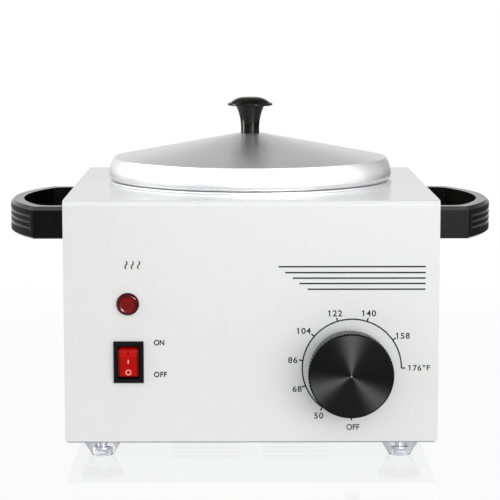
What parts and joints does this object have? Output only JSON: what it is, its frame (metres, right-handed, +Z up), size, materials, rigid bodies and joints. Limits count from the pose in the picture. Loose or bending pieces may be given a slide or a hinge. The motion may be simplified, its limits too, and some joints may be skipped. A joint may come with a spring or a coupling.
{
  "type": "wax warmer",
  "caption": "Square steel wax warmer: a lift-out pot under a conical lid, side handles, a thermostat dial, a rocker switch and a pilot lamp.",
  "frame": {"origin": "on the table, at the middle of the whole object's box", "axes": "+Z up, +X to the right seen from the front, the front with the dial faces -Y"},
  "size_m": [0.2568, 0.2146, 0.1775],
  "materials": {
    "powder_coat": "satin white powder coat on folded sheet steel",
    "zinc_plate": "bright zinc plate",
    "spun_aluminium": "satin spun aluminium",
    "phenolic": "moulded black phenolic",
    "black_abs": "moulded black ABS",
    "black_nylon": "moulded black nylon",
    "black_inlay": "black anodised disc, turned in fine rings",
    "clear_pvc": "clear soft PVC",
    "red_rocker": "translucent red polycarbonate",
    "red_lens": "translucent red polycarbonate",
    "neon_glass": "clear glass",
    "glass_fibre": "glass fibre felt",
    "heater_steel": "heat-tinted steel sheath",
    "copper": "bare copper",
    "brass": "plain brass",
    "steatite": "moulded cream thermoset",
    "ivory_nylon": "moulded ivory nylon",
    "brown_wire": "brown silicone insulation",
    "blue_wire": "blue silicone insulation",
    "earth_wire": "green and yellow silicone insulation"
  },
  "bodies": {
    "housing": {"case_wrap": "powder_coat", "side_panel_left": "powder_coat", "side_panel_right": "powder_coat", "base_plate": "zinc_plate", "base_screws": "zinc_plate", "foot_front_left": "clear_pvc", "foot_front_right": "clear_pvc", "foot_rear_left": "clear_pvc", "foot_rear_right": "clear_pvc", "foot_screws": "zinc_plate", "foot_nuts": "zinc_plate", "handle_left": "phenolic", "handle_right": "phenolic", "handle_screws": "zinc_plate", "heating_well": "spun_aluminium", "well_rivets": "spun_aluminium", "heater_band": "heater_steel", "heater_clamp_bolt": "zinc_plate", "heater_clamp_nut": "zinc_plate", "insulation_wrap": "glass_fibre", "thermostat_bulb": "copper", "capillary_tube": "copper", "thermal_fuse": "zinc_plate", "sensor_strap": "zinc_plate", "sensor_nut": "zinc_plate", "thermostat_body": "steatite", "thermostat_screws": "zinc_plate", "thermostat_terminals": "brass", "switch_body": "black_nylon", "switch_terminals": "brass", "lamp_lens": "red_lens", "lamp_retainer": "zinc_plate", "lamp_neon": "neon_glass", "cord_gland": "black_nylon", "gland_nut": "black_nylon", "terminal_block": "ivory_nylon", "terminal_screws": "brass", "earth_screw": "brass", "wires_live": "brown_wire", "wires_neutral": "blue_wire", "wire_earth": "earth_wire"},
    "dial": {"thermostat_shaft": "zinc_plate", "dial_knob": "black_abs", "dial_inlay": "black_inlay"},
    "rocker": {"switch_rocker": "red_rocker"},
    "pot": {"wax_pot": "spun_aluminium"},
    "lid": {"lid": "spun_aluminium", "lid_knob": "phenolic", "lid_knob_washer": "zinc_plate", "lid_knob_screw": "zinc_plate"}
  },
  "joints": [
    {"name": "pot_lift", "type": "slide", "parent": "housing", "child": "pot", "axis": [0, 0, 1], "range_m": [0, 0.1]},
    {"name": "lid_lift", "type": "slide", "parent": "pot", "child": "lid", "axis": [0, 0, 1], "range_m": [0, 0.06]},
    {"name": "dial_turn", "type": "hinge", "parent": "housing", "child": "dial", "pos_m": [0.0486, -0.0877, 0.0473], "axis": [0, 1, 0], "range_deg": [0, 270]},
    {"name": "rocker_tilt", "type": "hinge", "parent": "housing", "child": "rocker", "pos_m": [-0.061, -0.0859, 0.0509], "axis": [-1, 0, 0], "range_deg": [0, 28]}
  ]
}
